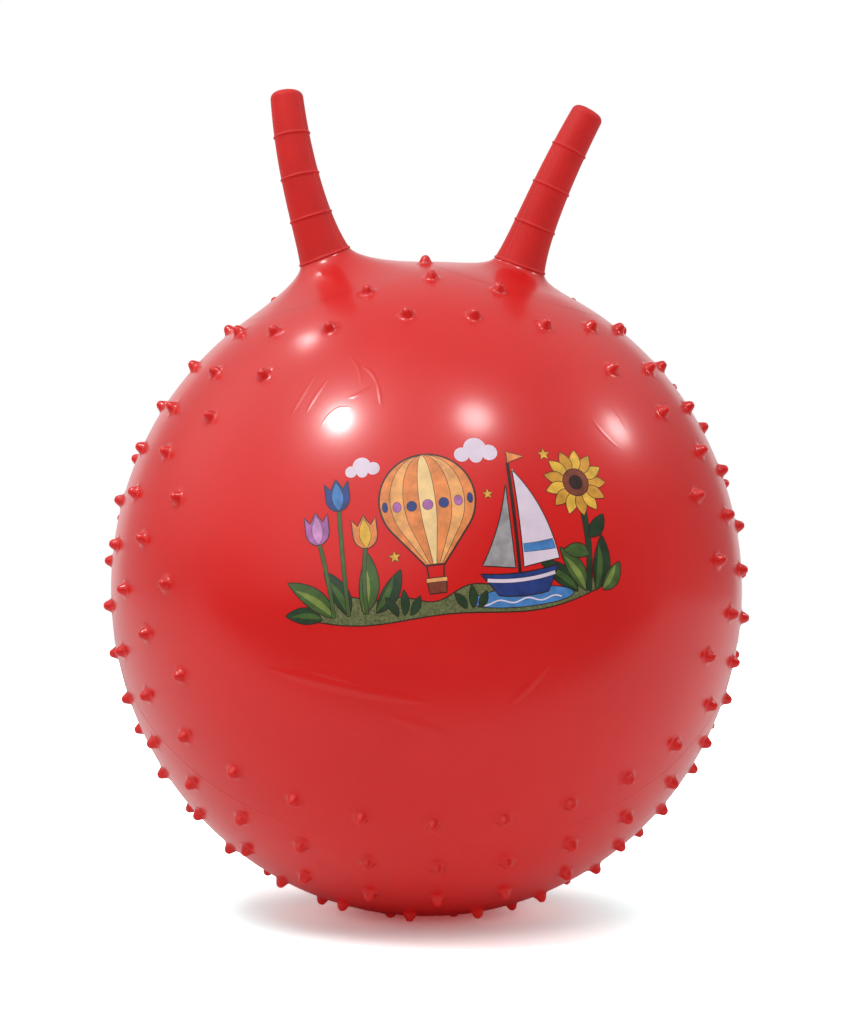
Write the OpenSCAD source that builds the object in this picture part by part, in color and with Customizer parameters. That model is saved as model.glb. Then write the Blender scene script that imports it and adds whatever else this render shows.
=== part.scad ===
// Hopper ball: a blown-up moulded ball with two horn grips, rows of nubs and a push-in air plug.
// Millimetres, +Z up, -Y is the printed front; the floor is z = 0, under the middle of the ball.

/* [Ball] */
// Width of the blown-up ball across its middle
ball_width = 450; // [300:5:750]
// Height of the blown-up ball over its width
ball_stretch = 1.038; // [1:0.002:1.08]
// Thickness of the moulded skin
skin_wall = 1; // [0.8:0.1:3]
// Depth by which the underside is pressed flat where the ball stands
rest_press = 4; // [3.5:0.25:8]

/* [Nubs] */
// Width of a nub at its root
nub_width = 9.2; // [6:0.2:11]
// Height of a free nub above the skin
nub_height = 5.5; // [3:0.25:8]
// Nubs in a full ring around the mould's middle
ring_full = 32; // [20:1:36]
// Angle from the mould's pole to the first ring of nubs
ring_first = 7.5; // [5:0.1:12]
// Angle from one ring of nubs to the next
ring_angle = 10.98; // [9:0.02:15]
// Lean of the mould's pole from upright towards the front
mould_tilt = 45.6; // [35:0.2:55]
// Clear distance between a free nub and the axis of a horn's neck
horn_clear = 54; // [50:1:70]

/* [Print window] */
// Angle from the mould's pole to the middle of the nub-free window
window_polar = 42; // [35:1:55]
// Turn of the window about the mould's pole
window_turn = 3; // [-10:1:15]
// Half width of the window as an angle
window_half_turn = 52; // [30:1:60]
// Half height of the window as an angle
window_half_tilt = 41; // [25:1:50]

/* [Feet] */
// Height of the pressed nubs that the ball stands on
foot_height = 4; // [2:0.25:6]
// Half distance between the two foot nubs of a pair
foot_spread = 22.5; // [18:0.5:26]
// Distance of each pair of foot nubs from the middle
foot_reach = 22.5; // [18:0.5:26]
// Sideways stagger of the front pair against the back pair
foot_stagger = 4.5; // [0:0.5:6]

/* [Horns] */
// Angle by which the horns stand in front of the top of the ball
horn_fore = 12; // [0:0.5:16]
// Angle from the middle of the ball to the left horn's neck
left_place = 17.2; // [14:0.2:24]
// Height of the left horn's base ring above the skin
left_rise = 15; // [7:0.2:24]
// Sideways lean of the left horn at its base
left_lean = 19.4; // [10:0.2:28]
// Change of the left horn's sideways lean from one grip ring to the next
left_bend = -4; // [-5:0.1:5]
// Forward lean of the left horn at its base
left_nod = 10.5; // [0:0.5:18]
// Change of the left horn's forward lean from one grip ring to the next
left_curl = -3; // [-4:0.1:4]
// Angle from the middle of the ball to the right horn's neck
right_place = 15; // [14:0.2:24]
// Height of the right horn's base ring above the skin
right_rise = 7.4; // [7:0.2:24]
// Sideways lean of the right horn at its base
right_lean = 19.8; // [10:0.2:28]
// Change of the right horn's sideways lean from one grip ring to the next
right_bend = 2.4; // [-5:0.1:5]
// Forward lean of the right horn at its base
right_nod = 13.5; // [0:0.5:18]
// Change of the right horn's forward lean from one grip ring to the next
right_curl = -0.8; // [-4:0.1:4]
// Width of a horn at its base ring
horn_base_width = 36.4; // [33:0.2:41]
// Width of a horn at its lowest grip ring
horn_low_width = 29.2; // [27:0.2:32]
// Width of a horn at its top grip ring
horn_top_width = 24.3; // [22.5:0.1:26.5]
// Width of a horn at its tip
horn_tip_width = 21.7; // [19:0.1:22.5]
// Distance from one grip ring to the next
grip_gap = 28.2; // [25:0.2:34]
// Distance from the top grip ring to the tip
grip_end = 30.4; // [25:0.2:36]
// Height of the grip rings above the horn
bead_height = 0.8; // [0.5:0.1:1.2]
// Thickness of a horn's wall
horn_wall = 4; // [3:0.25:5]
// Depth of the point where a horn bends, below its base ring
flex_depth = 8; // [7:0.25:10]
// Room between a horn's root and its neck
root_gap = 0.3; // [0.3:0.05:0.6]

/* [Valve] */
// Radius of the plug's hole in the valve seat
bore_radius = 4.5; // [3.5:0.1:5.5]
// Room around the plug's stem in its hole
stem_gap = 0.06; // [0.03:0.01:0.1]
// Length of the plug's stem
stem_length = 13; // [10:0.5:18]
// Radius of the plug's head
head_radius = 8; // [7.2:0.1:9]
// Thickness of the plug's head
head_height = 2; // [1.5:0.1:3]
// Radius of the valve seat's rim
seat_radius = 11.5; // [11:0.1:14]

/* [Hidden] */
$fn = 96;
half_w = ball_width / 2;
half_h = half_w * ball_stretch;
flat_z = half_h - rest_press;
centre_z = flat_z + foot_height;
patch_radius = half_w * sqrt(1 - pow(flat_z / half_h, 2));
profile_steps = 60;
pole = [0, -sin(mould_tilt), cos(mould_tilt)];
fore = [0, -cos(mould_tilt), -sin(mould_tilt)];
side = cross(pole, fore);
ring_last = floor((172 - ring_first) / ring_angle);
// Share of a step by which each ring of nubs is turned, from the crown down
ring_shares = [0.49, 0.06, 0.1, 0.08, 0.04, 0.27, 0.72, 0.86, 0.97, 0.02, 0.67, 0.32];
window_mid = aim(window_polar, window_turn);
window_side = cos(window_turn) * side - sin(window_turn) * fore;
window_down = cross(window_side, window_mid);
root_radius = sqrt(pow(horn_base_width / 2, 2) + pow(flex_depth, 2)) + 0.25;
cup_radius = root_radius + root_gap;
rim_z = -flex_depth + 1.6;
spigot_radius = cup_radius + 2.2;
horn_mid_width = (horn_low_width + horn_top_width) / 2 - 0.4;
horn_widths = [horn_base_width, horn_low_width, horn_mid_width, horn_top_width, horn_tip_width];
horn_lengths = [grip_gap, grip_gap, grip_gap, grip_end];
horn_cap = 3.5;
left_foot = on_skin(tilted(-left_place, horn_fore));
left_axis = tilted(-left_lean, left_nod);
left_base = left_foot + left_axis * left_rise;
right_foot = on_skin(tilted(right_place, horn_fore));
right_axis = tilted(right_lean, right_nod);
right_base = right_foot + right_axis * right_rise;
valve_point = on_skin(-pole);
valve_axis = outward(valve_point);
seat_floor = 1;
seat_top = seat_floor + head_height;
tube_radius = bore_radius + 2.5;
tube_end = seat_floor - stem_length + 1;
valve_clear = seat_radius + nub_width;

function unit(v) = v / norm(v);

// Direction that leans to the right and to the front by two angles from upright.
function tilted(lean, nod) = [sin(lean), -cos(lean) * sin(nod), cos(lean) * cos(nod)];

// Direction at a polar angle and a turn about the mould's pole.
function aim(polar, turn) = cos(polar) * pole + sin(polar) * (cos(turn) * fore + sin(turn) * side);

// Point of the skin in a direction from the ball's centre.
function on_skin(d) = d / sqrt((d[0] * d[0] + d[1] * d[1]) / pow(half_w, 2) + d[2] * d[2] / pow(half_h, 2));

// Outward direction of the skin at a point of it.
function outward(p) = unit([p[0] / pow(half_w, 2), p[1] / pow(half_w, 2), p[2] / pow(half_h, 2)]);

// Distance of a point from the line through a base point along an axis.
function off_axis(p, base, axis) = norm(cross(p - base, axis));

// One side of the ball's outline, from the flat patch to the top.
function outline(a, h, low) = [
    for (i = [0:profile_steps])
        let (t0 = -asin(low / h), t = t0 + (90 - t0) * i / profile_steps)
        [i == profile_steps ? 0 : a * cos(t), h * sin(t)]
];

// Whether a direction falls in the nub-free window around the print.
function in_window(d) =
    pow(asin(d * window_side) / window_half_turn, 2)
    + pow(atan2(d * window_down, d * window_mid) / window_half_tilt, 2) < 1;

// Whether a nub stands at a point of the skin.
function stands(p) =
    !in_window(unit(p))
    && (p[2] < 0 || min(off_axis(p, left_base, left_axis), off_axis(p, right_base, right_axis)) > horn_clear)
    && norm(p - valve_point) > valve_clear
    && (p[2] > 0 || norm([p[0], p[1]]) > patch_radius + nub_width);

// Turn of a ring's first nub.
function ring_turn(k, count) = ring_shares[k % len(ring_shares)] * 360 / count;

// Turns +Z into a direction and moves to a point, both from the ball's centre.
module face_out(p, d) {
    translate([0, 0, centre_z])
        translate(p)
            rotate([0, acos(d[2]), atan2(d[1], d[0])])
                children();
}

// Solid inside of a ball's outline.
module solid_ball(a, h, low) {
    translate([0, 0, centre_z])
        rotate_extrude()
            polygon(concat([[0, -low]], outline(a, h, low)));
}

// One free nub, a rounded cone on the skin.
module nub(width, height) {
    rotate_extrude($fn = 32)
        polygon(concat([[0, 0], [width / 2, 0]], [
            for (i = [1:4])
                let (t = 18 * i)
                [width / 2 * cos(t) * (1 - 0.12 * sin(2 * t)), height * sin(t) / sin(72)]
        ], [[0, height]]));
}

// All standing nubs of the rings from one to another.
module nub_rings(first, last) {
    for (k = [first:last]) {
        polar = ring_first + k * ring_angle;
        count = max(3, round(ring_full * sin(polar)));
        for (i = [0:count - 1]) {
            p = on_skin(aim(polar, ring_turn(k, count) + i * 360 / count));
            if (stands(p))
                face_out(p, outward(p))
                    nub(nub_width, nub_height);
        }
    }
}

module ball_skin() {
    color("red")
        difference() {
            solid_ball(half_w, half_h, flat_z);
            solid_ball(half_w - skin_wall, half_h - skin_wall, flat_z - skin_wall);
            face_out(left_base, left_axis)
                translate([0, 0, -left_rise - spigot_radius])
                    cylinder(h = 2 * spigot_radius, r = spigot_radius);
            face_out(right_base, right_axis)
                translate([0, 0, -right_rise - spigot_radius])
                    cylinder(h = 2 * spigot_radius, r = spigot_radius);
            face_out(valve_point, valve_axis)
                translate([0, 0, -tube_radius])
                    cylinder(h = 2 * tube_radius, r = tube_radius);
        }
}

// Flared neck with the cup that a horn's root turns in.
module neck(base, axis, rise) {
    drop = rise + 4 + rim_z;
    difference() {
        union() {
            difference() {
                face_out(base, axis)
                    rotate_extrude()
                        polygon([
                            [0, rim_z],
                            [spigot_radius - 0.6, rim_z],
                            [spigot_radius + 1.2, rim_z - 0.35 * drop],
                            [spigot_radius + 5.5, rim_z - 0.7 * drop],
                            [spigot_radius + 14, rim_z - drop],
                            [spigot_radius + 34, rim_z - drop - 14],
                            [0, rim_z - drop - 14]
                        ]);
                solid_ball(half_w, half_h, flat_z);
            }
            face_out(base, axis)
                translate([0, 0, -flex_depth - cup_radius - 2.2])
                    cylinder(h = cup_radius + 2.2, r = spigot_radius);
        }
        face_out(base, axis)
            translate([0, 0, -flex_depth])
                sphere(r = cup_radius);
    }
}

module left_neck() {
    color("red")
        neck(left_base, left_axis, left_rise);
}

module right_neck() {
    color("red")
        neck(right_base, right_axis, right_rise);
}

// Foot of one length of a horn, from the base ring.
function reach(lean, bend, nod, curl, i) =
    i == 0 ? [0, 0, 0]
           : reach(lean, bend, nod, curl, i - 1)
             + horn_lengths[i - 1] * tilted(lean + bend * (i - 1), nod + curl * (i - 1));

// Moves to the foot of one length of a horn and leans with it, or by half a bend less.
module along(lean, bend, nod, curl, i, back = 0) {
    translate(reach(lean, bend, nod, curl, i))
        rotate([nod + curl * (i - back), 0, 0])
            rotate([0, lean + bend * (i - back), 0])
                children();
}

// Tapered lengths of a horn with a disc over each bend, drawn in by an inset for the hollow.
module horn_stack(lean, bend, nod, curl, inset, lip, half) {
    for (i = [0:3]) {
        low = horn_widths[i] / 2 - inset;
        high = horn_widths[i + 1] / 2 - inset;
        start = i > 0 ? 0 : inset > 0 ? inset : -2;
        end = horn_lengths[i] - (i == 3 ? horn_cap : 0);
        along(lean, bend, nod, curl, i)
            translate([0, 0, start])
                cylinder(h = end - start, r1 = low + (high - low) * start / horn_lengths[i], r2 = high);
        if (i > 0)
            along(lean, bend, nod, curl, i, 0.5)
                rotate_extrude()
                    polygon([
                        [0, -half],
                        [low - 1.2, -half],
                        [low + lip, -0.35],
                        [low + lip, 0.35],
                        [low - 1.2, half],
                        [0, half]
                    ]);
    }
}

// Bent horn grip with its root ball, grip rings and rounded tip.
module horn(base, lean, bend, nod, curl) {
    tip_r = horn_tip_width / 2;
    translate([0, 0, centre_z])
        translate(base)
            difference() {
                union() {
                    along(lean, bend, nod, curl, 0)
                        translate([0, 0, -flex_depth])
                            sphere(r = root_radius);
                    horn_stack(lean, bend, nod, curl, 0, bead_height, 2.2);
                    along(lean, bend, nod, curl, 3)
                        translate([0, 0, grip_end - horn_cap])
                            rotate_extrude()
                                polygon([
                                    [0, 0],
                                    [tip_r, 0],
                                    [tip_r * 0.96, horn_cap * 0.45],
                                    [tip_r * 0.86, horn_cap * 0.8],
                                    [tip_r * 0.7, horn_cap],
                                    [0, horn_cap]
                                ]);
                }
                horn_stack(lean, bend, nod, curl, horn_wall, 0.5, 2.2);
            }
}

module left_horn() {
    color("firebrick")
        horn(left_base, -left_lean, -left_bend, left_nod, left_curl);
}

module right_horn() {
    color("firebrick")
        horn(right_base, right_lean, right_bend, right_nod, right_curl);
}

module crown_nubs() {
    color("red")
        nub_rings(0, floor((90 - ring_first) / ring_angle));
}

module lower_nubs() {
    color("red")
        nub_rings(floor((90 - ring_first) / ring_angle) + 1, ring_last);
}

// Four nubs pressed flat between the ball and the floor.
module foot_nubs() {
    color("red")
        for (fb = [-1, 1])
            for (lr = [-1, 1])
                translate([lr * foot_spread + fb * foot_stagger, fb * foot_reach, 0])
                    cylinder(h = foot_height, r1 = nub_width / 2 - 0.9, r2 = nub_width / 2, $fn = 48);
}

module valve_seat() {
    color("red")
        difference() {
            union() {
                difference() {
                    face_out(valve_point, valve_axis)
                        translate([0, 0, -6])
                            cylinder(h = 6 + seat_top, r = seat_radius);
                    solid_ball(half_w, half_h, flat_z);
                }
                face_out(valve_point, valve_axis)
                    translate([0, 0, tube_end])
                        cylinder(h = seat_top - tube_end, r = tube_radius);
            }
            face_out(valve_point, valve_axis)
                translate([0, 0, tube_end - 1])
                    cylinder(h = seat_top - tube_end + 2, r = bore_radius);
            face_out(valve_point, valve_axis)
                translate([0, 0, seat_floor])
                    cylinder(h = head_height + 1, r = head_radius + 0.4);
        }
}

module valve_plug() {
    stem_r = bore_radius - stem_gap;
    color("white")
        face_out(valve_point, valve_axis)
            translate([0, 0, seat_floor])
                rotate_extrude()
                    polygon([
                        [0, -stem_length],
                        [stem_r - 1.2, -stem_length],
                        [stem_r, -stem_length + 2.5],
                        [stem_r, 0],
                        [head_radius, 0],
                        [head_radius, head_height - 0.6],
                        [head_radius - 0.6, head_height],
                        [0, head_height]
                    ]);
}

ball_skin();
left_neck();
right_neck();
left_horn();
right_horn();
crown_nubs();
lower_nubs();
foot_nubs();
valve_seat();
valve_plug();
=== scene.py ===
"""Looks of the hopper ball, in the CAD's frame: skin, necks, horns, nubs, print, valve, floor,
lights and camera."""

import math

import bpy
import numpy as np
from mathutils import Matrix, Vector, geometry


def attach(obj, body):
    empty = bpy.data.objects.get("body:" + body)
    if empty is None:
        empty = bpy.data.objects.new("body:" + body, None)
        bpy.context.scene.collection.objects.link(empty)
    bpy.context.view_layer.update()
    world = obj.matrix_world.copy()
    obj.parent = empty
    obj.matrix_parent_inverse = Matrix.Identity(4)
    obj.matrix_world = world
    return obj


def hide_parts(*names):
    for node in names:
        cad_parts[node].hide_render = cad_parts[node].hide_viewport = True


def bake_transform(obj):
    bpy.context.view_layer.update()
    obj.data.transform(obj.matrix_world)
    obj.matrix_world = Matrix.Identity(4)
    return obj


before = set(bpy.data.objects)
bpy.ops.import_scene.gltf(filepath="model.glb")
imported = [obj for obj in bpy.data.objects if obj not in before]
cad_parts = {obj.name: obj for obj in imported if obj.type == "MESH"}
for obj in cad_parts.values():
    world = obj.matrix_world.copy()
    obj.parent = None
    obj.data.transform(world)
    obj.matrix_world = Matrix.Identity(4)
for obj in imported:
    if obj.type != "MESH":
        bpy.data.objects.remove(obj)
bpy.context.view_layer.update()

MM = 0.001

# Sizes as in the part's source, in millimetres and degrees.
HALF_W = 225.0
BALL_STRETCH = 1.038
HALF_H = HALF_W * BALL_STRETCH
REST_PRESS = 4.0
FOOT_HEIGHT = 4.0
FLAT_Z = HALF_H - REST_PRESS
CENTRE_Z = FLAT_Z + FOOT_HEIGHT
PATCH_RADIUS = HALF_W * math.sqrt(1 - (FLAT_Z / HALF_H) ** 2)
NUB_WIDTH = 9.2
RING_FULL, RING_FIRST, RING_ANGLE, RING_STOP = 32, 7.5, 10.98, 172
RING_SHARES = [0.49, 0.06, 0.1, 0.08, 0.04, 0.27, 0.72, 0.86, 0.97, 0.02, 0.67, 0.32]
MOULD_TILT = 45.6
WINDOW_POLAR, WINDOW_TURN, WINDOW_HALF_TURN, WINDOW_HALF_TILT = 42.0, 3.0, 52.0, 41.0
HORN_CLEAR, HORN_FORE = 54.0, 12.0
SEAT_RADIUS = 11.5
FOOT_SPREAD, FOOT_REACH, FOOT_STAGGER = 22.5, 22.5, 4.5
GRIP_GAP, GRIP_END = 28.2, 30.4
HORN_RINGS, HORN_BEAD = 4, 0.8
HORN_LENGTH = (HORN_RINGS - 1) * GRIP_GAP + GRIP_END
CENTRE = np.array([0.0, 0.0, CENTRE_Z])

# Sizes of the looks alone, in millimetres and degrees.
PRESS_SOFT = 1.2
HORN_RADIUS, HORN_TAPER, HORN_FLARE, FLARE_LENGTH = 14.8, 0.0318, 3.4, 17.0
HORN_ROOT, BEAD_WIDTH, BEAD_REACH = -1.8, 0.75, 2.2
FINE_STEP, COARSE_STEP = 0.3, 1.5
TIP_ROUND, TIP_CROWN, TIP_POINT = 5.0, 0.4, 0.02
# Each ring of the flat tip: depth below the top, and share of the tip's radius.
TIP_RINGS = np.array([(0.2, 0.4), (0.0, 0.08)])
HORN_SEAM_TURN, HORN_SEAM_SPAN, HORN_SEAM_FADE = 45, 5, 3
HORN_SEAM_HEIGHT, HORN_SEAM_WIDTH = 0.22, 2.4
NECK_REACH, NECK_PULL, NECK_SPLAY, NECK_LIFT = 68.0, 26.0, 0.25, 0.06
NECK_CLEAR = 1.0002
NUB_HEIGHT, NUB_LIFT, SKIN_ROUND, FLOOR_GAP = 5.8, 0.03, 228.0, 0.05
# A nub's outline from foot to tip: shares of its half width and of its height.
NUB_RADII = np.array([1.75, 1.45, 1.22, 1.05, 0.94, 0.84, 0.74, 0.62, 0.48, 0.32, 0.13])
NUB_RISES = np.array([0.0, 0.018, 0.06, 0.135, 0.25, 0.4, 0.56, 0.73, 0.87, 0.965, 1.0])
SEAM_DROP, SEAM_ROLL, SEAM_LIFT = 0.75, 1.25, 0.02
SEAM_LOW, SEAM_RISE, SEAM_FRONT, SEAM_FADE = 0.03, 0.13, 12, 25
# The parting line's section: millimetres to the side, and share of its height.
SEAM_SECTION = ((-1.0, 0.0), (-0.45, 0.55), (0.0, 1.0), (0.45, 0.55), (1.0, 0.0))
FOLD_LIFT, FOLD_SWELL, FOLD_END_WIDTH = 0.03, 0.7, 0.35

# The photograph's camera: a little to the left (-X) of the front, level with the ball's middle.
CAMERA_TURN = 3.3
CAMERA_DISTANCE = 1.25
FOCAL_PX, IMAGE_PX, CENTRE_DROP_PX, SENSOR_MM = 1724.2, 1024, 77, 36.0


def sind(a):
    return math.sin(math.radians(a))


def cosd(a):
    return math.cos(math.radians(a))


def unit(v):
    v = np.asarray(v, float)
    return v / np.linalg.norm(v, axis=-1, keepdims=True)


turn_right = np.array([cosd(CAMERA_TURN), -sind(CAMERA_TURN), 0])
turn_away = np.array([sind(CAMERA_TURN), cosd(CAMERA_TURN), 0])
POLE = np.array([0.0, -sind(MOULD_TILT), cosd(MOULD_TILT)])
FORE = np.array([0.0, -cosd(MOULD_TILT), -sind(MOULD_TILT)])
SIDE = np.cross(POLE, FORE)


def aim(polar, turn):
    """Direction at a polar angle and a turn about the mould's pole."""
    return cosd(polar) * POLE + sind(polar) * (cosd(turn) * FORE + sind(turn) * SIDE)


def tilted(lean, nod):
    """Direction that leans to the right and to the front by two angles from upright."""
    a, b = np.radians(lean), np.radians(nod)
    return np.stack([np.sin(a), -np.cos(a) * np.sin(b), np.cos(a) * np.cos(b)], -1)


def on_skin(d):
    """Point of the round skin in a direction from the ball's centre, from the centre."""
    d = np.asarray(d, float)
    k = (d[..., 0] ** 2 + d[..., 1] ** 2) / HALF_W**2 + d[..., 2] ** 2 / HALF_H**2
    return d / np.sqrt(k)[..., None]


def outward(p):
    """Outward direction of the round skin at a point, from the centre."""
    return unit(np.asarray(p, float) / np.array([HALF_W**2, HALF_W**2, HALF_H**2]))


def pressed(p):
    """The skin's points with the underside pressed softly flat."""
    q = np.array(p, float)
    low = -FLAT_Z - q[..., 2]
    q[..., 2] += 0.5 * (low + np.sqrt(low**2 + PRESS_SOFT))
    return q


# Materials


def node_material(name):
    """A material with its nodes, its principled shader and a short way to add nodes."""
    mat = bpy.data.materials.new(name)
    mat.use_nodes = True
    tree = mat.node_tree
    return mat, tree, tree.nodes["Principled BSDF"], adder(tree)


def adder(tree):
    """A short way to add a node with its settings and input values to a tree."""

    def add(kind, **values):
        node = tree.nodes.new(kind)
        for key, value in values.items():
            if hasattr(node, key):
                setattr(node, key, value)
            else:
                node.inputs[key.replace("_", " ")].default_value = value
        return node

    return add


def mottle(tree, add, shader, base, spread, scale, rough, rough_spread=0.05):
    """Colour and roughness that vary softly over a piece."""
    coords = add("ShaderNodeTexCoord")
    noise = add("ShaderNodeTexNoise", Scale=scale, Detail=4.0, Roughness=0.6)
    ramp = add("ShaderNodeValToRGB")
    dark = [max(0.0, c * (1 - spread)) for c in base]
    pale = [min(1.0, c * (1 + spread)) for c in base]
    ramp.color_ramp.elements[0].color = (*dark, 1)
    ramp.color_ramp.elements[1].color = (*pale, 1)
    ramp.color_ramp.elements[0].position = 0.3
    ramp.color_ramp.elements[1].position = 0.7
    level = add("ShaderNodeMapRange", To_Min=rough - rough_spread, To_Max=rough + rough_spread)
    tree.links.new(coords.outputs["Object"], noise.inputs["Vector"])
    tree.links.new(noise.outputs["Fac"], ramp.inputs["Fac"])
    tree.links.new(noise.outputs["Fac"], level.inputs["Value"])
    tree.links.new(ramp.outputs["Color"], shader.inputs["Base Color"])
    tree.links.new(level.outputs["Result"], shader.inputs["Roughness"])
    return coords


def vinyl(
    name, base, rough, grain, grain_scale, coat=0.0, coat_rough=0.1, gloss=0.5, spread=0.05, scale=9.0
):
    """Soft moulded vinyl with a fine surface grain, and a sharper coat over its broad gloss."""
    mat, tree, shader, add = node_material(name)
    coords = mottle(tree, add, shader, base, spread, scale, rough, rough_spread=0.04)
    fine = add("ShaderNodeTexNoise", Scale=grain_scale, Detail=3.0)
    bump = add("ShaderNodeBump", Strength=grain, Distance=0.0004)
    tree.links.new(coords.outputs["Object"], fine.inputs["Vector"])
    tree.links.new(fine.outputs["Fac"], bump.inputs["Height"])
    tree.links.new(bump.outputs["Normal"], shader.inputs["Normal"])
    shader.inputs["IOR"].default_value = 1.5
    shader.inputs["Specular IOR Level"].default_value = gloss
    shader.inputs["Coat Weight"].default_value = coat
    shader.inputs["Coat Roughness"].default_value = coat_rough
    return mat


SKIN = vinyl(
    "skin_vinyl", (0.68, 0.0045, 0.0030), rough=0.37, grain=0.12, grain_scale=900.0,
    coat=0.6, coat_rough=0.2, gloss=0.2,
)
HORN = vinyl(
    "horn_vinyl", (0.62, 0.010, 0.008), rough=0.6, grain=0.25, grain_scale=1400.0,
    gloss=0.25, spread=0.08, scale=40.0,
)
HORN.node_tree.nodes["Principled BSDF"].inputs["Sheen Weight"].default_value = 0.08
SEAT = vinyl("seat_vinyl", (0.64, 0.012, 0.010), rough=0.4, grain=0.1, grain_scale=900.0)
PLUG = vinyl("plug_plastic", (0.78, 0.77, 0.72), rough=0.35, grain=0.08, grain_scale=700.0)


# Mesh helpers


def mesh_object(name, points_mm, faces, materials, indices=None, normals=None):
    """A smooth object from points in millimetres in the part's frame."""
    mesh = bpy.data.meshes.new(name)
    mesh.from_pydata([tuple(p) for p in np.asarray(points_mm) * MM], [], faces)
    for material in materials:
        mesh.materials.append(material)
    for k, poly in enumerate(mesh.polygons):
        poly.use_smooth = True
        if indices is not None:
            poly.material_index = indices[k]
    mesh.update()
    if normals is not None:
        mesh.normals_split_custom_set_from_vertices([tuple(n) for n in normals])
    obj = bpy.data.objects.new(name, mesh)
    bpy.context.scene.collection.objects.link(obj)
    return obj


def grid_faces(rows, cols, first=0):
    """Quads of rows of points that close round on themselves."""
    faces = []
    for r in range(rows - 1):
        a, b = first + r * cols, first + (r + 1) * cols
        for c in range(cols):
            d = (c + 1) % cols
            faces.append((a + c, a + d, b + d, b + c))
    return faces


def turned_over(faces):
    """The same faces seen from the other side."""
    return [tuple(reversed(f)) for f in faces]


# Ball skin


def ball_mesh(rows, cols):
    """The whole skin as rings from pole to pole."""
    polar = np.linspace(0, math.pi, rows + 2)[1:-1]
    turn = np.linspace(0, 2 * math.pi, cols, endpoint=False)
    d = np.stack(
        [
            np.outer(np.sin(polar), np.cos(turn)),
            np.outer(np.sin(polar), np.sin(turn)),
            np.outer(np.cos(polar), np.ones(cols)),
        ],
        axis=-1,
    )
    d = np.vstack([d.reshape(-1, 3), [[0, 0, 1.0], [0, 0, -1.0]]])
    top, bottom, last = rows * cols, rows * cols + 1, (rows - 1) * cols
    faces = turned_over(grid_faces(rows, cols))
    faces += [(top, c, (c + 1) % cols) for c in range(cols)]
    faces += [(bottom, last + (c + 1) % cols, last + c) for c in range(cols)]
    return pressed(on_skin(d)) + CENTRE, faces


BALL_GRID = ((220, 360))
pts, faces = ball_mesh(*BALL_GRID)
ball = mesh_object("ball_skin_show", pts, faces, [SKIN])
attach(ball, "ball")
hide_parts("ball_skin")


# Horns and necks


class Horn:
    """One bent horn: its base ring, its middle line and its radius along it."""

    def __init__(self, name, sign, place, rise, lean, bend, nod, curl):
        self.name, self.rise, self.seam = name, rise, -90 - sign * HORN_SEAM_TURN
        self.lean, self.bend, self.nod, self.curl = sign * lean, sign * bend, nod, curl
        self.axis = tilted(self.lean, nod)
        self.base = on_skin(tilted(sign * place, HORN_FORE)) + self.axis * rise + CENTRE

    def way(self, s):
        """Directions of the middle line at distances above the base ring."""
        k = np.asarray(s) / GRIP_GAP - 0.5
        return tilted(self.lean + self.bend * k, self.nod + self.curl * k)

    def line(self, s, samples=600):
        """Middle line points and directions at distances above the base ring."""
        fine = np.linspace(0, HORN_LENGTH, samples)
        d = self.way(fine)
        steps = (d[1:] + d[:-1]) / 2 * (fine[1] - fine[0])
        path = np.vstack([[0, 0, 0], np.cumsum(steps, axis=0)])
        p = np.stack([np.interp(s, fine, path[:, k]) for k in range(3)], -1)
        return self.base + p + np.minimum(s, 0)[:, None] * self.way(0.0), self.way(s)

    @staticmethod
    def radius(s):
        """Radius at distances above the base ring, with the beads."""
        r = HORN_RADIUS - HORN_TAPER * s + HORN_FLARE * np.exp(-s / FLARE_LENGTH)
        for k in range(HORN_RINGS):
            r = r + HORN_BEAD * np.exp(-(((s - k * GRIP_GAP) / BEAD_WIDTH) ** 2))
        return r


def around(d):
    """Two directions square to each of a row of directions."""
    back = np.array([0, 1.0, 0])
    across = unit(back - (d @ back)[..., None] * d)
    return np.cross(across, d), across


def horn_mesh(horn, cols=80):
    """The grip: a tube along the bent line with two mould seams, closed by a rounded flat tip."""
    edge = HORN_LENGTH - TIP_ROUND
    s = [HORN_ROOT]
    while s[-1] < edge:
        near = min(abs(s[-1] - k * GRIP_GAP) for k in range(HORN_RINGS))
        s.append(s[-1] + (FINE_STEP if near < BEAD_REACH else COARSE_STEP))
    s = np.array(s[:-1])
    radii = horn.radius(s)
    corner = np.radians(np.linspace(0, 90, 10))
    r_tip = float(horn.radius(np.array(edge)))
    rounded = edge + (TIP_ROUND - TIP_CROWN) * np.sin(corner)
    s = np.concatenate([s, rounded, HORN_LENGTH - TIP_RINGS[:, 0]])
    rounded = r_tip - TIP_ROUND * (1 - np.cos(corner))
    radii = np.concatenate([radii, rounded, r_tip * TIP_RINGS[:, 1]])
    p, d = horn.line(s)
    side, across = around(d)
    even = np.linspace(0, 360, cols, endpoint=False)
    span = np.linspace(-HORN_SEAM_SPAN, HORN_SEAM_SPAN, 7)
    seams = [horn.seam + 180 * k + span for k in (0, 1)]
    turn = np.sort(np.concatenate([even] + seams) % 360)
    cols = len(turn)
    off = (turn - horn.seam + 90) % 180 - 90
    ridge = HORN_SEAM_HEIGHT * np.exp(-((off / HORN_SEAM_WIDTH) ** 2))
    radii = radii[:, None] + ridge * np.clip((edge - s) / HORN_SEAM_FADE, 0, 1)[:, None]
    turn = np.radians(turn)[None, :, None]
    out = np.cos(turn) * side[:, None] + np.sin(turn) * across[:, None]
    rings = p[:, None] + radii[:, :, None] * out
    pts = np.vstack([rings.reshape(-1, 3), p[-1] + d[-1] * TIP_POINT])
    last = (len(s) - 1) * cols
    faces = grid_faces(len(s), cols)
    faces += [(last + c, last + (c + 1) % cols, len(pts) - 1) for c in range(cols)]
    return pts, faces


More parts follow.
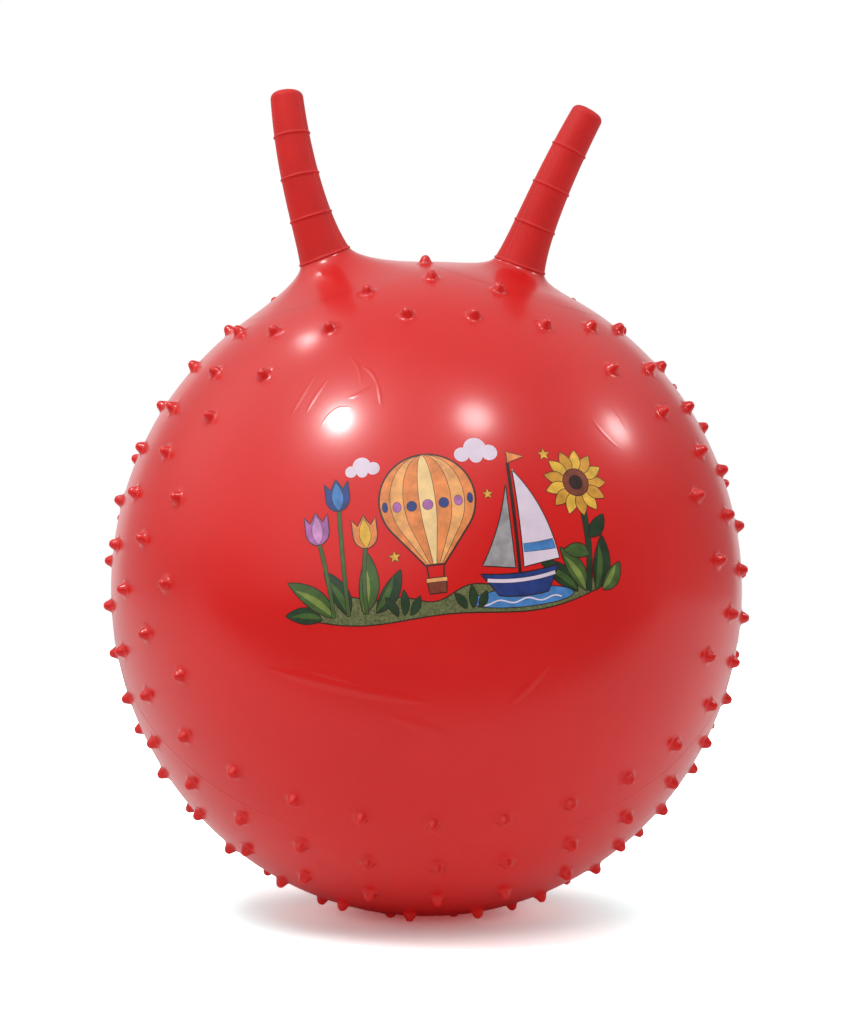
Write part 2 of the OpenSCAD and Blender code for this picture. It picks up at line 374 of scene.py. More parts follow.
def neck_mesh(horn, rows=36, cols=112):
    """The flare: from the base ring down, running out smoothly into the skin."""
    p0, d0 = horn.line(np.array([0.0]))
    side, across = around(d0)
    p0, d0 = p0[0], d0[0]
    turn = np.linspace(0, 2 * math.pi, cols, endpoint=False)[:, None]
    out = np.cos(turn) * side[0] + np.sin(turn) * across[0]
    r0 = float(horn.radius(np.array(0.0))) - HORN_BEAD
    start = p0 + r0 * out
    foot = p0 - CENTRE - d0 * horn.rise
    far = on_skin(unit(foot + NECK_REACH * out))
    normal = outward(far)
    slope = unit(out - (out * normal).sum(-1, keepdims=True) * normal)
    down = unit(-d0 + NECK_SPLAY * out)
    far = far + normal * NECK_LIFT + CENTRE
    u = np.linspace(0, 1, rows)[:, None, None]
    h0, h1 = 2 * u**3 - 3 * u**2 + 1, u**3 - 2 * u**2 + u
    h2, h3 = -2 * u**3 + 3 * u**2, u**3 - u**2
    flat = (h0 * start + h1 * NECK_PULL * down + h2 * far + h3 * NECK_REACH * slope).reshape(-1, 3)
    q = flat - CENTRE
    skin = NECK_CLEAR * on_skin(unit(q))
    low = np.linalg.norm(q, axis=1) < np.linalg.norm(skin, axis=1)
    flat[low] = skin[low] + CENTRE
    return flat, turned_over(grid_faces(rows, cols)), p0, d0


HORNS = [
    Horn("left", -1, place=17.2, rise=15.0, lean=19.4, bend=-4.0, nod=10.5, curl=-3.0),
    Horn("right", 1, place=15.0, rise=7.4, lean=19.8, bend=2.4, nod=13.5, curl=-0.8),
]
for horn in HORNS:
    pts, faces = horn_mesh(horn)
    grip = mesh_object(horn.name + "_horn_show", pts, faces, [HORN])
    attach(grip, horn.name + "_horn")
    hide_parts(horn.name + "_horn")
    pts, faces, p0, d0 = neck_mesh(horn)
    neck = mesh_object(horn.name + "_neck_show", pts, faces, [SKIN])
    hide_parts(horn.name + "_neck")
    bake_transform(neck)


# Nubs

window_mid = aim(WINDOW_POLAR, WINDOW_TURN)
window_side = cosd(WINDOW_TURN) * SIDE - sind(WINDOW_TURN) * FORE
window_down = np.cross(window_side, window_mid)
valve_point = on_skin(-POLE)


def in_window(d):
    """Whether a direction lies in the window that the nubs leave to the print."""
    across = math.degrees(math.asin(float(d @ window_side)))
    along = math.degrees(math.atan2(float(d @ window_down), float(d @ window_mid)))
    return (across / WINDOW_HALF_TURN) ** 2 + (along / WINDOW_HALF_TILT) ** 2 < 1


def off_axis(p, horn):
    """Distance of a point from the axis of a horn's neck."""
    return np.linalg.norm(np.cross(p - (horn.base - CENTRE), horn.axis))


def stands(p):
    """Whether a nub stands at a point of the skin."""
    if in_window(unit(p)) or np.linalg.norm(p - valve_point) < SEAT_RADIUS + NUB_WIDTH:
        return False
    if p[2] > 0:
        return min(off_axis(p, h) for h in HORNS) > HORN_CLEAR
    return math.hypot(p[0], p[1]) > PATCH_RADIUS + NUB_WIDTH


def nub_mesh(p, n, height, sink, cols=28):
    """A nub like a rounded drop, from its flare into the skin to its tip."""
    r = NUB_WIDTH / 2 * NUB_RADII
    helper = np.array([1.0, 0, 0]) if abs(n[0]) < 0.9 else np.array([0, 1.0, 0])
    e1 = unit(np.cross(helper, n))
    e2 = np.cross(n, e1)
    turn = np.linspace(0, 2 * math.pi, cols, endpoint=False)[:, None]
    out = np.cos(turn) * e1 + np.sin(turn) * e2
    z = height * NUB_RISES - sink * r**2 + NUB_LIFT
    rows = p + r[:, None, None] * out + z[:, None, None] * n
    pts = np.vstack([rows.reshape(-1, 3), p + n * z[-1]])
    last = (len(r) - 1) * cols
    tip = [(last + c, last + (c + 1) % cols, len(pts) - 1) for c in range(cols)]
    return pts, grid_faces(len(r), cols) + tip


def many(meshes):
    """One mesh of many."""
    pts, faces, first = [], [], 0
    for p, f in meshes:
        pts.append(p)
        faces += [tuple(i + first for i in face) for face in f]
        first += len(p)
    return np.vstack(pts), faces


def ring_nubs(first, last):
    """All standing nubs of the rings from one to another."""
    meshes = []
    for k in range(first, last + 1):
        polar = RING_FIRST + k * RING_ANGLE
        count = max(3, math.floor(RING_FULL * sind(polar) + 0.5))
        for i in range(count):
            p = on_skin(aim(polar, (RING_SHARES[k % len(RING_SHARES)] + i) * 360 / count))
            if stands(p):
                sink = 1 / (2 * SKIN_ROUND)
                meshes.append(nub_mesh(p + CENTRE, outward(p), NUB_HEIGHT, sink))
    return many(meshes)


def foot_nubs():
    """The four nubs that the ball stands on."""
    down = np.array([0, 0, -1.0])
    places = [
        np.array([lr * FOOT_SPREAD + fb * FOOT_STAGGER, fb * FOOT_REACH, FOOT_HEIGHT])
        for fb in (-1, 1)
        for lr in (-1, 1)
    ]
    return many(nub_mesh(place, down, FOOT_HEIGHT - FLOOR_GAP, sink=0) for place in places)


last_ring = math.floor((RING_STOP - RING_FIRST) / RING_ANGLE)
crown_last = math.floor((90 - RING_FIRST) / RING_ANGLE)
for name, (pts, faces) in (
    ("crown_nubs", ring_nubs(0, crown_last)),
    ("lower_nubs", ring_nubs(crown_last + 1, last_ring)),
    ("foot_nubs", foot_nubs()),
):
    nubs = mesh_object(name + "_show", pts, faces, [SKIN])
    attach(nubs, "ball")
    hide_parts(name)


# Parting line


def seam_mesh(cols=360):
    """A fine raised line round the mould's middle, fainter in front."""
    middle = RING_FIRST + (crown_last + 0.5) * RING_ANGLE
    turn = np.linspace(0, 360, cols, endpoint=False)
    p = np.array([on_skin(aim(middle + SEAM_DROP - SEAM_ROLL * sind(t), t)) for t in turn])
    n = outward(p)
    along = unit(np.roll(p, -1, axis=0) - np.roll(p, 1, axis=0))
    wide = np.cross(along, n)
    off_front = np.abs((turn + 180) % 360 - 180)
    height = SEAM_LOW + SEAM_RISE * np.clip((off_front - SEAM_FRONT) / SEAM_FADE, 0, 1)
    line = pressed(p) + CENTRE
    rows = [line + x * wide + (SEAM_LIFT + z * height)[:, None] * n for x, z in SEAM_SECTION]
    return np.vstack(rows), grid_faces(len(SEAM_SECTION), cols)


pts, faces = seam_mesh()
seam = mesh_object("seam_show", pts, faces, [SKIN])
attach(seam, "ball")


# Folds left in the skin by packing

# Each fold: degrees to the right of the front and above the middle, at its start, pull and end;
# then its width and height in millimetres.
FOLDS = [
    ((-24.9, 37.2), (-27.0, 32.5), (-28.2, 28.0), 5.0, 0.12),
    ((-22.0, 35.8), (-24.6, 31.6), (-25.2, 28.6), 4.2, 0.11),
    ((-19.9, 40.2), (-16.0, 37.6), (-15.7, 33.6), 4.0, 0.10),
    ((-16.2, 37.4), (-13.6, 36.6), (-12.4, 33.4), 3.8, 0.13),
    ((-12.6, 34.2), (-11.8, 32.0), (-11.4, 29.6), 3.4, 0.12),
    ((-17.6, 31.2), (-15.4, 31.6), (-13.8, 33.4), 4.0, 0.13),
    ((-22.0, 25.6), (-20.4, 30.6), (-16.6, 29.2), 2.4, 0.06),
    ((14.2, 33.8), (17.9, 30.8), (19.3, 26.5), 4.0, 0.06),
    ((33.0, 31.0), (34.3, 28.8), (35.0, 26.0), 3.6, 0.10),
    ((27.6, 28.4), (29.0, 25.2), (32.0, 23.0), 3.6, 0.08),
    ((-29.0, -12.6), (-15.5, -15.6), (-3.0, -17.6), 11.0, 0.55),
    ((-22.0, -12.8), (-16.4, -13.6), (-11.6, -16.0), 8.0, 0.35),
    ((10.4, -18.2), (13.6, -14.6), (16.8, -11.2), 8.0, 0.35),
    ((-9.4, -20.0), (-5.0, -21.0), (0.6, -23.4), 10.0, 0.30),
]


def fold_mesh(start, pull, end, width, height, steps=30, lines=11):
    """A soft low ridge along a bent path on the skin, running out at its ends and sides."""
    t = np.linspace(0, 1, steps)[:, None]
    a, b, c = (np.radians(k) for k in (start, pull, end))
    right, up = ((1 - t) ** 2 * a + 2 * t * (1 - t) * b + t**2 * c).T
    p = on_skin(np.stack([np.cos(up) * np.sin(right), -np.cos(up) * np.cos(right), np.sin(up)], -1))
    n = outward(p)
    wide = unit(np.cross(np.gradient(p, axis=0), n))
    swell = np.sin(math.pi * t) ** FOLD_SWELL
    taper = FOLD_END_WIDTH + (1 - FOLD_END_WIDTH) * swell
    rows = []
    for k in np.linspace(-1, 1, lines):
        q = p + k * width / 2 * taper * wide
        lift = FOLD_LIFT + height * swell * math.cos(math.pi / 2 * k) ** 2
        rows.append(on_skin(unit(q)) + lift * n + CENTRE)
    faces = []
    for r in range(len(rows) - 1):
        for k in range(steps - 1):
            i = r * steps + k
            faces.append((i, i + 1, i + steps + 1, i + steps))
    return np.vstack(rows), faces


pts, faces = many(fold_mesh(*fold) for fold in FOLDS)
folds = mesh_object("folds_show", pts, faces, [SKIN])
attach(folds, "ball")


# Print: a made-up garden scene of flat colours, drawn in millimetres about its middle.
# A drawing is a list of ink, outline and width of its dark edge, from the back to the front.


def printed(name, base):
    """A glossy ink, dabbed on unevenly; the ground's is speckled."""
    spread, scale = INK_DABS.get(name, (0.28, 130.0))
    return vinyl(
        "print_" + name, base, rough=0.36, grain=0.1, grain_scale=900.0,
        coat=0.4, coat_rough=0.1, gloss=0.3, spread=spread, scale=scale,
    )


INKS = {
    "dark_green": (0.022, 0.050, 0.020),
    "green": (0.060, 0.118, 0.026),
    "lime": (0.19, 0.25, 0.05),
    "olive": (0.135, 0.150, 0.058),
    "yellow": (0.74, 0.42, 0.045),
    "gold": (0.62, 0.29, 0.03),
    "orange": (0.74, 0.235, 0.065),
    "tan": (0.80, 0.36, 0.12),
    "cream": (0.86, 0.58, 0.26),
    "brown": (0.21, 0.045, 0.022),
    "dark": (0.040, 0.016, 0.012),
    "lilac": (0.74, 0.61, 0.72),
    "grey": (0.34, 0.32, 0.33),
    "navy": (0.021, 0.045, 0.21),
    "blue": (0.06, 0.21, 0.50),
    "purple": (0.39, 0.125, 0.37),
    "pink": (0.56, 0.25, 0.50),
}
INK_NAMES = list(INKS)
INK_DABS = {"olive": (0.5, 700.0), "lilac": (0.1, 60.0), "cream": (0.15, 90.0)}
PRINT_AT = unit([0.0186, -0.988, 0.1536])
PRINT_ROLL, PRINT_SCALE, PRINT_LIFT = 7.0, 0.94, 0.12
STEM_FOOT = -46
# A balloon's mouth, in its radius: how far below its middle, and its half width.
MOUTH_DROP, MOUTH_HALF = 1.36, 0.2
print_u = unit(turn_right - (turn_right @ PRINT_AT) * PRINT_AT)
print_v = np.cross(PRINT_AT, print_u)
print_u, print_v = (
    cosd(PRINT_ROLL) * print_u + sind(PRINT_ROLL) * print_v,
    cosd(PRINT_ROLL) * print_v - sind(PRINT_ROLL) * print_u,
)


def on_print(uv):
    """Points of the flat design laid on the skin, a little above it, and their normals."""
    uv = PRINT_SCALE * np.asarray(uv, float)
    r = np.maximum(np.hypot(uv[:, 0], uv[:, 1]), 1e-6)
    a = r / HALF_W
    way = (uv[:, :1] * print_u + uv[:, 1:] * print_v) / r[:, None]
    p = on_skin(np.cos(a)[:, None] * PRINT_AT + np.sin(a)[:, None] * way)
    return p + outward(p) * PRINT_LIFT + CENTRE, outward(p)


def leaf(x, y, angle, length, width, curl=0.0):
    """A pointed leaf from its foot, turned and curled by angles."""
    t = np.linspace(0, 1, 14)
    half = width / 2 * np.sin(math.pi * t) ** 0.8 * (1.15 - 0.3 * t)
    a = np.radians(angle + curl * t)
    mid = np.stack([x + length * t * np.cos(a), y + length * t * np.sin(a)], -1)
    nor = np.stack([-np.sin(a), np.cos(a)], -1)
    return np.vstack([mid - half[:, None] * nor, (mid + half[:, None] * nor)[-2:0:-1]])


def disc(x, y, rx, ry=None):
    """A round or oval spot."""
    t = np.linspace(0, 2 * math.pi, max(14, int(rx * 2.4)), endpoint=False)
    return np.stack([x + rx * np.cos(t), y + (ry or rx) * np.sin(t)], -1)


def band(path, width):
    """A line of even width along a path."""
    path = np.asarray(path, float)
    way = unit(np.gradient(path, axis=0))
    nor = np.stack([-way[:, 1], way[:, 0]], -1) * width / 2
    return np.vstack([path - nor, (path + nor)[::-1]])


def star(x, y, r):
    """A star of five points."""
    t = np.radians(90 + 36 * np.arange(10))
    k = np.where(np.arange(10) % 2 == 0, r, r * 0.45)
    return np.stack([x + k * np.cos(t), y + k * np.sin(t)], -1)


def curve(start, pull, end, count=14):
    """A smooth path from a start to an end, drawn aside by a pull."""
    a, b, c = (np.array(k, float) for k in (start, pull, end))
    t = np.linspace(0, 1, count)[:, None]
    return (1 - t) ** 2 * a + 2 * t * (1 - t) * b + t**2 * c


def envelope(x, y, r, left=-1.0, right=1.0):
    """A gore of a balloon between two shares of its half width."""
    t = np.radians(np.linspace(90, -38, 26))
    half = np.vstack([np.stack([r * np.cos(t), r * np.sin(t)], -1), [[MOUTH_HALF * r, -MOUTH_DROP * r]]])
    return np.vstack([half * [right, 1], (half * [left, 1])[:0:-1]]) + [x, y]


def tulip(x, y, ink, pale, stem_x):
    """A tulip with its cup at a place."""
    cup = [[8, 11], [4.2, 6], [0, 13], [-4.2, 6], [-8, 11]]
    cup += [[8 * cosd(a), 9 * sind(a)] for a in np.linspace(180, 360, 12)]
    return [
        ("green", band(curve((stem_x, STEM_FOOT), (stem_x, -18), (x, y - 6)), 2.6), 0.4),
        (ink, np.array(cup) + [x, y], 0.7),
        (pale, leaf(x, y - 8.5, 90, 19, 7.5), 0.3),
    ]


def ground():
    """A strip of meadow."""
    x = np.linspace(-98, 98, 50)
    top = np.stack([x, -38 + 3.5 * np.sin(x / 15.0) + 2.0 * np.sin(x / 6.5 + 1)], -1)
    low = np.stack([x, -55 + 3.0 * np.sin(x / 21.0 + 2) + 0.0011 * x**2], -1)
    return [("olive", np.vstack([low, top[::-1]]), 0.8)]


def bushes():
    """Two tufts of broad leaves with pale veins."""
    art = []
    for x, angle, length, width, ink, vein in (
        (-92, 152, 26, 11, "dark_green", "green"), (-84, 122, 40, 13, "green", "lime"),
        (-74, 98, 34, 12, "dark_green", "green"), (-64, 66, 40, 13, "green", "lime"),
        (-56, 40, 32, 11, "dark_green", "green"), (78, 124, 34, 12, "dark_green", "green"),
        (84, 104, 34, 12, "green", "lime"), (92, 64, 38, 13, "dark_green", "green"),
        (97, 36, 24, 11, "green", "lime"),
    ):
        art.append((ink, leaf(x, STEM_FOOT, angle, length, width, 14), 0.7))
        art.append((vein, leaf(x, STEM_FOOT + 1, angle + 3, length * 0.8, width * 0.34, 14), 0))
    return art


def balloon(x, y, r):
    """A striped hot-air balloon with a row of spots and a basket."""
    art = [("brown", envelope(x, y, r), 0.8)]
    edges = (-1.0, -0.78, -0.5, -0.17, 0.17, 0.5, 0.78, 1.0)
    gores = ("orange", "tan", "orange", "cream", "orange", "tan", "orange")
    for ink, left, right in zip(gores, edges, edges[1:]):
        art.append((ink, envelope(x, y, r - 0.6, left, right), 0.35))
    for k in (-0.89, -0.64, -0.335, 0.0, 0.335, 0.64, 0.89):
        ink = "purple" if abs(k) in (0.0, 0.64) else "navy"
        drop = 3 * math.sqrt(1 - k * k)
        width = 0.105 * r * math.sqrt(1.1 - k * k)
        art.append((ink, disc(x + k * r * 0.99, y - drop, width, 0.11 * r), 0.3))
    low = y - MOUTH_DROP * r
    for side in (-1, 1):
        rope = [[x + side * 0.18 * r, low], [x + side * 0.15 * r, low - 9.0]]
        art.append(("dark", band(rope, 0.9), 0))
    basket = [[x - 6.5, low - 8], [x - 5.4, low - 18], [x + 5.4, low - 18], [x + 6.5, low - 8]]
    art.append(("brown", np.array(basket), 0.7))
    art.append(("tan", band([[x - 6.6, low - 9.4], [x + 6.6, low - 9.4]], 2.6), 0.3))
    return art


def boat():
    """A sailing boat on a pond."""
    wave = np.linspace(13, 66, 24)
    hull = [curve((13, -29), (39, -33), (66, -27)), curve((57, -44), (40, -47), (24, -44))]
    main_sail = [curve((42, -27), (43, 8), (42.3, 38)), curve((42.5, 37), (62, 12), (67, -23))]
    fore_sail = [
        curve((36.8, 30), (36, 0), (36.5, -27)),
        curve((35, -27), (28, -26), (15, -24)),
        curve((15.5, -23), (30, 0), (36.5, 28)),
    ]
    stripe = [
        curve((43.3, -12), (52, -12), (63.5, -10)),
        curve((65, -16.5), (54, -17.5), (43.3, -17.5)),
    ]
    return [
        ("blue", disc(40, -46, 35, 6.5), 0.6),
        ("navy", np.vstack(hull), 0.8),
        ("lilac", band(curve((17, -33.5), (40, -37.5), (63, -32)), 2.6), 0.3),
        ("lilac", band(np.stack([wave, -48 + 1.2 * np.sin(wave / 3)], -1), 0.9), 0),
        ("dark", band([[39.0, -31.0], [40.0, 42.0]], 2.2), 0),
        ("lilac", np.vstack(main_sail), 0.7),
        ("grey", np.vstack(fore_sail), 0.7),
        ("blue", np.vstack(stripe), 0.3),
        ("orange", np.array([[40, 42], [52, 46], [40, 50]], float), 0.5),
    ]


def sunflower(x, y, petals=13):
    """A sunflower with its head at a place."""
    art = [
        ("dark_green", band(curve((x, STEM_FOOT), (x + 6, -14), (x + 1, y - 7)), 4.2), 0.5),
        ("green", leaf(x + 3, -22, 150, 19, 10, 18), 0.7),
        ("dark_green", leaf(x + 4, -10, 34, 20, 10, 14), 0.7),
    ]
    for k in range(petals):
        a = 360 / petals * k
        petal = leaf(x + 7 * cosd(a), y + 7 * sind(a), a, 16, 8.5)
        art.append(("yellow" if k % 2 else "gold", petal, 0.5))
    return art + [("brown", disc(x, y, 9.5), 0.6), ("dark", disc(x, y, 5.2), 0)]


def cloud(x, y, k):
    """A small cloud of four puffs."""
    puffs = ((-9, -1, 5), (9, -1, 5.5), (0, 2.5, 7.5), (0, -3, 4.5))
    return [("lilac", disc(x + k * dx, y + k * dy, k * r), 0) for dx, dy, r in puffs]


def garden():
    """The whole design."""
    art = ground() + bushes()
    art += tulip(-88, 12, "purple", "pink", -84)
    art += tulip(-72, 32, "navy", "blue", -74)
    art += tulip(-57, 5, "orange", "yellow", -62)
    art += cloud(20, 51, 1.0) + balloon(-15, 22, 31) + cloud(-54, 49, 0.8)
    art += boat() + sunflower(86, 27)
    grass = ((-42, 108, 15), (-38, 76, 17), (-34, 48, 14), (2, 112, 13), (6, 78, 15), (10, 50, 12))
    for x, angle, length in grass:
        art.append(("dark_green", leaf(x, -50, angle, length, 5.5, 10), 0.5))
    stars = ((-40, -12, 4.2), (66, 47, 4.6), (24, 22, 3.6))
    return art + [("yellow", star(x, y, r), 0.4) for x, y, r in stars]


def resampled(poly, step):
    """A closed outline, anticlockwise, with points no further apart than a step."""
    poly = np.asarray(poly, float)
    ahead = np.roll(poly, -1, axis=0)
    if np.sum(poly[:, 0] * ahead[:, 1] - ahead[:, 0] * poly[:, 1]) < 0:
        poly = poly[::-1]
    out = []
    for a, b in zip(poly, np.roll(poly, -1, axis=0)):
        count = max(1, math.ceil(np.linalg.norm(b - a) / step))
        out += [a + (b - a) * k / count for k in range(count)]
    return np.array(out)


def grown(loop, by):
    """A closed outline moved outwards by a distance."""
    side = np.roll(loop, -1, axis=0) - np.roll(loop, 1, axis=0)
    return loop + by * unit(np.stack([side[:, 1], -side[:, 0]], -1) + 1e-9)


def inside(loop, pts):
    """Which points lie inside a closed outline."""
    hit = np.zeros(len(pts), bool)
    for a, b in zip(loop, np.roll(loop, -1, axis=0)):
        if a[1] != b[1]:
            spans = (a[1] > pts[:, 1]) != (b[1] > pts[:, 1])
            edge = (b[0] - a[0]) * (pts[:, 1] - a[1]) / (b[1] - a[1]) + a[0]
            hit ^= spans & (pts[:, 0] < edge)
    return hit


def print_mesh(step=2.5, fill=4.5, clear=1.2, merge=0.03):
    """The design as one thin sheet: all outlines in one net of triangles, each with the ink that
    lies on top. Points fill the sheet where they are clear of the outlines."""
    loops = []
    for ink, poly, edge in garden():
        loop = resampled(poly, step)
        if edge:
            loops.append(("dark", grown(loop, edge / 2)))
        loops.append((ink, grown(loop, -edge / 2) if edge else loop))
    line = np.vstack([loop for _, loop in loops])
    low, high = line.min(0), line.max(0)
    gx, gy = np.meshgrid(np.arange(low[0], high[0], fill), np.arange(low[1], high[1], fill))
    grid = np.stack([gx.ravel(), gy.ravel()], -1)
    far = np.array([np.min(np.hypot(*(line - g).T)) > clear for g in grid])
    ends = np.cumsum([len(loop) for _, loop in loops])
    cells = [list(range(end - len(loop), end)) for end, (_, loop) in zip(ends, loops)]
    pts = [Vector(p) for p in np.vstack([line, grid[far]])]
    out = geometry.delaunay_2d_cdt(pts, [], cells, 1, merge)
    uv = np.array([tuple(p) for p in out[0]])
    tris = np.array([tuple(f) for f in out[2]])
    top = np.full(len(tris), -1)
    for ink, loop in loops:
        top[inside(loop, uv[tris].mean(1))] = INK_NAMES.index(ink)
    used, tris = np.unique(tris[top >= 0], return_inverse=True)
    pts, normals = on_print(uv[used])
    return pts, [tuple(f) for f in tris.reshape(-1, 3).tolist()], top[top >= 0].tolist(), normals


pts, faces, inks, normals = print_mesh()
ink_materials = [printed(name, INKS[name]) for name in INK_NAMES]
art = mesh_object("print_show", pts, faces, ink_materials, inks, normals)
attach(art, "ball")


# Valve

for name, mat in (("valve_seat", SEAT), ("valve_plug", PLUG)):
    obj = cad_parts[name]
    obj.data.materials.clear()
    obj.data.materials.append(mat)


# Stage, light and camera

# Lengths in metres. A pair is where a soft edge starts and ends, or the levels on its two sides.
FLOOR_HALF = 6.0
# FLOOR_DARK is the floor in the ball's reflections in front of FLOOR_FRONT, where it ends, and within
# FLOOR_CONTACT of the ball's foot, where it is painted shade.
FLOOR_WHITE, FLOOR_DARK = (0.83, 0.83, 0.83), (0.04, 0.04, 0.04, 1)
FLOOR_FRONT, FLOOR_CONTACT = (-0.52, -0.30), (0.045, 0.125)
FLOOR_BRIGHT = 4.0
# Painted light: near the ball the floor glows, though it is no lamp, lighting the ball's underside from
# below; GLOW_EDGE is where the glow fades out.
FLOOR_GLOW, GLOW_EDGE = 0.2, (0.08, 0.34)
# Half size of the painted shadow, across and along, in metres.
SHADOW_HALF = (0.24, 0.16)
# Painted shadow: to the camera the floor's colour is darker in a ring round the ball and lighter
# at its middle, with less red than green and blue. Each row: share of the shadow's half size,
# then the floor's red and its green and blue there.
SHADOW_LEVELS = (
    (0.30, 0.50, 0.87),
    (0.42, 0.38, 0.64),
    (0.54, 0.35, 0.59),
    (0.75, 0.43, 0.64),
    (0.85, 0.50, 0.64),
)
SIDE_LEVELS, FRONT_LEVEL, FRONT_EDGE = (0.45, 0.25), 0.03, (-0.85, 0.0)
CEILING_LEVEL, CEILING_EDGE = 0.6, (0.3, 0.8)
# Way to the middle of a soft light, cosines at its edge, and level.
SOFT_LIGHTS = (
    ((-0.45, -0.66, 0.60), (0.60, 0.95), 1.5),
    ((-0.78, 0.0, 0.626), (0.8, 1.0), 1.3),
)
SHEET_LEVEL, SHEET_EDGE = 0.95, (0.78, 0.86)
SKY_LEVELS, SKY_EDGE = (0.42, 0.99), (-0.2, 1.0)
LEFT_RIGHT_LEVELS = (0.98, 1.16)
WHOLE, OFF_ON, ON_OFF = (-1.0, 1.0), (0.0, 1.0), (1.0, 0.0)
KEY_PLACE = (-0.752, -0.785, 1.53)
# Name, place, width in metres, watts, and whether it is a highlight.
LAMPS = (
    ("fill", KEY_PLACE, 0.6, 7, False),
    ("key", KEY_PLACE, 0.16, 13.5, True),
    ("small", (-0.708, 0.324, 1.675), 0.07, 1.2, True),
    ("top", (0.35, -0.977, 1.578), 0.26, 5.6, True),
    ("right", (1.293, -0.141, 1.256), 0.2, 2.9, True),
)


def smooth(add, tree, socket, edge, levels):
    """A smooth step of a value, over an edge, from one level to another."""
    node = add(
        "ShaderNodeMapRange", interpolation_type="SMOOTHSTEP",
        From_Min=edge[0], From_Max=edge[1], To_Min=levels[0], To_Max=levels[1],
    )
    tree.links.new(socket, node.inputs["Value"])
    return node.outputs["Result"]


def blend_values(add, tree, factor, a, b):
    """A value or socket a where the factor is 0, and b where it is 1."""
    node = add("ShaderNodeMix", data_type="FLOAT")
    tree.links.new(factor, node.inputs[0])
    for socket, value in ((node.inputs[2], a), (node.inputs[3], b)):
        if isinstance(value, (int, float)):
            socket.default_value = value
        else:
            tree.links.new(value, socket)
    return node.outputs[0]


def multiplied(add, tree, a, b):
    """The product of two values."""
    node = add("ShaderNodeMath", operation="MULTIPLY")
    tree.links.new(a, node.inputs[0])
    tree.links.new(b, node.inputs[1])
    return node.outputs[0]


def mixed(add, tree, factor, a, b):
    """Shader a where the factor is 0, and b where it is 1."""
    node = add("ShaderNodeMixShader")
    for k, socket in enumerate((factor, a, b)):
        tree.links.new(socket, node.inputs[k])
    return node.outputs[0]


def stage_floor():
    """White floor: bright to the camera with a painted shadow round the ball, glowing a little near
    the ball as painted light on its underside, and in its reflections ending in front of it and
    painted dark, as shade, where it touches."""
    mat, tree, shader, add = node_material("studio_floor")
    coords = mottle(tree, add, shader, FLOOR_WHITE, spread=0.01, scale=3.0, rough=0.9)
    shader.inputs["Specular IOR Level"].default_value = 0.0
    split = add("ShaderNodeSeparateXYZ")
    reach = add("ShaderNodeVectorMath", operation="LENGTH")
    tree.links.new(coords.outputs["Object"], split.inputs[0])
    tree.links.new(coords.outputs["Object"], reach.inputs[0])
    # In the ball's reflections the floor shows only behind its front edge and away from the ball's foot;
    # elsewhere it is dark, near the foot as painted shade.
    lit = multiplied(
        add, tree,
        smooth(add, tree, split.outputs["Y"], FLOOR_FRONT, OFF_ON),
        smooth(add, tree, reach.outputs["Value"], FLOOR_CONTACT, OFF_ON),
    )

    # Painted shadow: to the camera the floor's colour darkens over an oval round the ball's foot, on top
    # of the shadow that falls on it.
    shape = add("ShaderNodeVectorMath", operation="MULTIPLY")
    shape.inputs[1].default_value = (1 / SHADOW_HALF[0], 1 / SHADOW_HALF[1], 0)
    ring = add("ShaderNodeVectorMath", operation="LENGTH")
    ramp = add("ShaderNodeValToRGB")
    bright = add("ShaderNodeVectorMath", operation="SCALE")
    bright.inputs["Scale"].default_value = FLOOR_BRIGHT
    for place, red, rest in SHADOW_LEVELS:
        spot = ramp.color_ramp.elements.new(place)
        spot.color = (red, rest, rest, 1)
    for end in (0, -1):
        _, red, rest = SHADOW_LEVELS[end]
        ramp.color_ramp.elements[end].color = (red, rest, rest, 1)
    tree.links.new(coords.outputs["Object"], shape.inputs[0])
    tree.links.new(shape.outputs[0], ring.inputs[0])
    tree.links.new(ring.outputs["Value"], ramp.inputs["Fac"])
    tree.links.new(ramp.outputs["Color"], bright.inputs[0])

    path = add("ShaderNodeLightPath")
    white = add("ShaderNodeBsdfDiffuse")
    dark = add("ShaderNodeBsdfDiffuse", Color=FLOOR_DARK)
    tree.links.new(bright.outputs[0], white.inputs["Color"])
    surface = shader.outputs[0]
    # Painted light: the floor glows near the ball, seen only in the light that reaches the ball, not by
    # the camera or in reflections.
    glow = add("ShaderNodeEmission")
    strength = smooth(add, tree, reach.outputs["Value"], GLOW_EDGE, (FLOOR_GLOW, 0.0))
    tree.links.new(strength, glow.inputs["Strength"])
    lifted = add("ShaderNodeAddShader")
    tree.links.new(surface, lifted.inputs[0])
    tree.links.new(glow.outputs[0], lifted.inputs[1])
    mirrored = mixed(add, tree, lit, dark.outputs[0], surface)
    seen = mixed(add, tree, path.outputs["Is Glossy Ray"], lifted.outputs[0], mirrored)
    seen = mixed(add, tree, path.outputs["Is Camera Ray"], seen, white.outputs[0])
    tree.links.new(seen, tree.nodes["Material Output"].inputs["Surface"])

    mesh = bpy.data.meshes.new("floor")
    corners = [(FLOOR_HALF * x, FLOOR_HALF * y, 0) for x, y in ((-1, -1), (1, -1), (1, 1), (-1, 1))]
    mesh.from_pydata(corners, [], [(0, 1, 2, 3)])
    mesh.materials.append(mat)
    floor = bpy.data.objects.new("floor", mesh)
    bpy.context.scene.collection.objects.link(floor)


